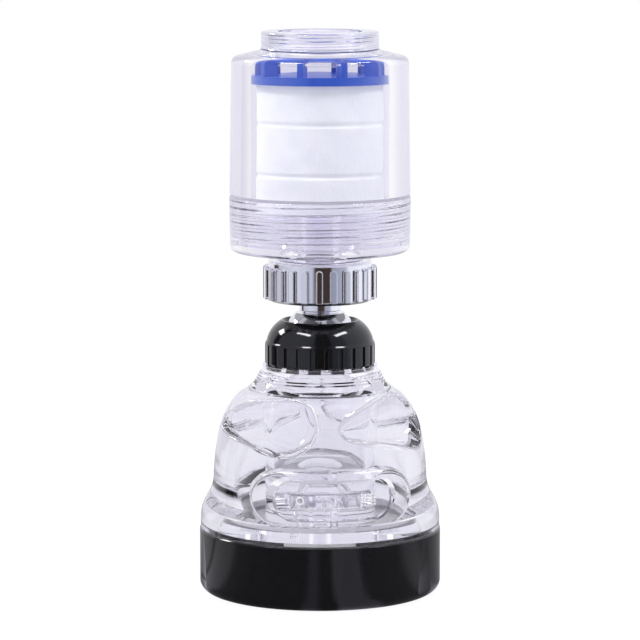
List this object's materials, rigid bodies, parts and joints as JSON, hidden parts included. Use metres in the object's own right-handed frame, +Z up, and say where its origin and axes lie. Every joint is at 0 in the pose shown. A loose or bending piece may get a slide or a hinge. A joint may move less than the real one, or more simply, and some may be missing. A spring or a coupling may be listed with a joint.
{
  "type": "faucet mount water filter",
  "caption": "Clear faucet mount water filter with a blue-capped cotton cartridge, a chrome union nut and a ball-jointed clear sprayer head on a black base ring",
  "frame": {"origin": "on the vertical axis, at the foot of the base ring where the filter stands on a table", "axes": "+Z up along the inlet's axis, -Y towards the selector on the sprayer, +X to its right"},
  "size_m": [0.0624, 0.0624, 0.145],
  "materials": {
    "clear_plastic": "clear moulded plastic with a faint lilac tint, polished",
    "clear_seal": "pale translucent sealing ring",
    "blue_plastic": "glossy moulded blue plastic",
    "cotton": "soft white depth-filter cotton",
    "white_plastic": "white moulded plastic",
    "rubber": "black rubber",
    "chrome": "bright polished chrome plating",
    "black_plastic": "glossy black moulded plastic",
    "steel_mesh": "fine woven steel mesh"
  },
  "bodies": {
    "housing": {"upper_housing": "clear_plastic", "inlet_gasket": "clear_seal", "cap_seal": "clear_seal"},
    "cartridge": {"cartridge_top_cap": "blue_plastic", "cotton_sleeve": "cotton", "core_tube": "white_plastic", "cartridge_bottom_cap": "clear_plastic", "cartridge_seal": "clear_seal"},
    "filter_cap": {"lower_cap": "clear_plastic"},
    "union_washer": {"union_washer": "rubber"},
    "union_nut": {"union_nut": "chrome"},
    "ball_stem": {"ball_stem": "chrome"},
    "ball_seat": {"ball_seat": "white_plastic"},
    "sprayer": {"ball_collar": "black_plastic", "ball_seal": "rubber", "spray_body": "clear_plastic", "tube_seal": "clear_seal", "valve_body": "clear_plastic", "chamber_seal": "clear_seal", "base_ring": "black_plastic", "plate_seal": "rubber", "spray_plate": "white_plastic", "aerator_housing": "white_plastic", "aerator_disc": "white_plastic", "aerator_mesh": "steel_mesh"},
    "mode_rocker": {"mode_rocker": "clear_plastic"},
    "diverter_spool": {"diverter_spool": "clear_plastic", "spool_seals": "clear_seal"}
  },
  "joints": [
    {"name": "cap_turn", "type": "hinge", "parent": "cartridge", "child": "filter_cap", "pos_m": [0, 0, 0.096], "axis": [0, 0, -1], "range_deg": [0, 1890]},
    {"name": "cap_drop", "type": "slide", "parent": "housing", "child": "cartridge", "axis": [0, 0, -1], "range_m": [0, 0.0095]},
    {"name": "nut_turn", "type": "hinge", "parent": "union_washer", "child": "union_nut", "pos_m": [0, 0, 0.081], "axis": [0, 0, -1], "range_deg": [0, 1800]},
    {"name": "nut_drop", "type": "slide", "parent": "filter_cap", "child": "union_washer", "axis": [0, 0, -1], "range_m": [0, 0.005]},
    {"name": "stem_swivel", "type": "hinge", "parent": "union_washer", "child": "ball_stem", "pos_m": [0, 0, 0.0785], "axis": [0, 0, 1], "continuous": true},
    {"name": "head_tilt", "type": "hinge", "parent": "ball_stem", "child": "ball_seat", "pos_m": [0, 0, 0.0655], "axis": [1, 0, 0], "range_deg": [-25, 25]},
    {"name": "head_spin", "type": "hinge", "parent": "ball_seat", "child": "sprayer", "pos_m": [0, 0, 0.0655], "axis": [0, 0, 1], "continuous": true},
    {"name": "rocker_swing", "type": "hinge", "parent": "sprayer", "child": "mode_rocker", "pos_m": [0, -0.0283, 0.0285], "axis": [0, 0, 1], "range_deg": [-5, 5]},
    {"name": "spool_slide", "type": "slide", "parent": "sprayer", "child": "diverter_spool", "axis": [1, 0, 0], "range_m": [-0.0015, 0.0015]}
  ],
  "couplings": [
    {"joint": "cap_drop", "follows": "cap_turn", "m_per_rad": 0.00028648},
    {"joint": "nut_turn", "follows": "nut_drop", "rad_per_m": 6283.2},
    {"joint": "spool_slide", "follows": "rocker_swing", "m_per_rad": -0.01695}
  ]
}
